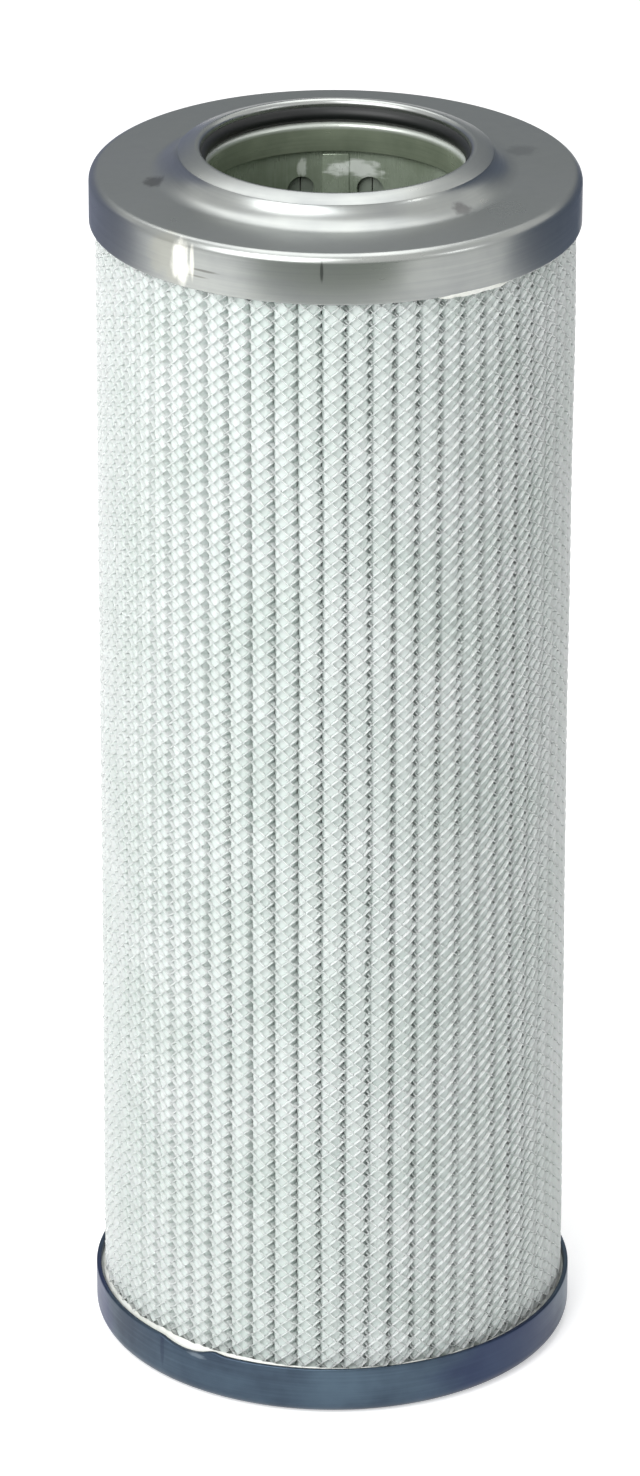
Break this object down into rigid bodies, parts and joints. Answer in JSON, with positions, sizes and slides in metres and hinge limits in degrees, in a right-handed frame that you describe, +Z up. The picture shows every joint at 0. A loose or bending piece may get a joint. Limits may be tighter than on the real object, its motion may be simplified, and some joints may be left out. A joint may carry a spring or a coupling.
{
  "type": "pleated hydraulic filter element",
  "caption": "Cylindrical pleated filter element: white net over glass-fibre pleats on a perforated core, a blind lower cap, and an upper cap whose collar holds an O-ring.",
  "frame": {"origin": "centre of the blind cap's underside, on which the element stands", "axes": "+Z up the element's axis, out of the open neck; -Y is the side with the knock in the lower rim"},
  "size_m": [0.0792, 0.0792, 0.2062],
  "materials": {
    "tinned_steel": "satin, drawn",
    "seat_steel": "turned, oiled",
    "core_steel": "mill, oiled",
    "base_steel": "satin, blue-grey",
    "nitrile": "smooth, oiled",
    "white_net": "semi-matt strands",
    "glass_fibre": "matt fleece",
    "adhesive": "cured, slightly glossy"
  },
  "bodies": {
    "root": {"top_end_cap": "tinned_steel", "seal_seat_ring": "seat_steel", "o_ring": "nitrile", "top_potting": "adhesive", "outer_support_net": "white_net", "filter_medium": "glass_fibre", "inner_support_net": "white_net", "side_seam_bead": "adhesive", "core_tube": "core_steel", "bottom_potting": "adhesive", "bottom_end_cap": "base_steel"}
  },
  "joints": []
}
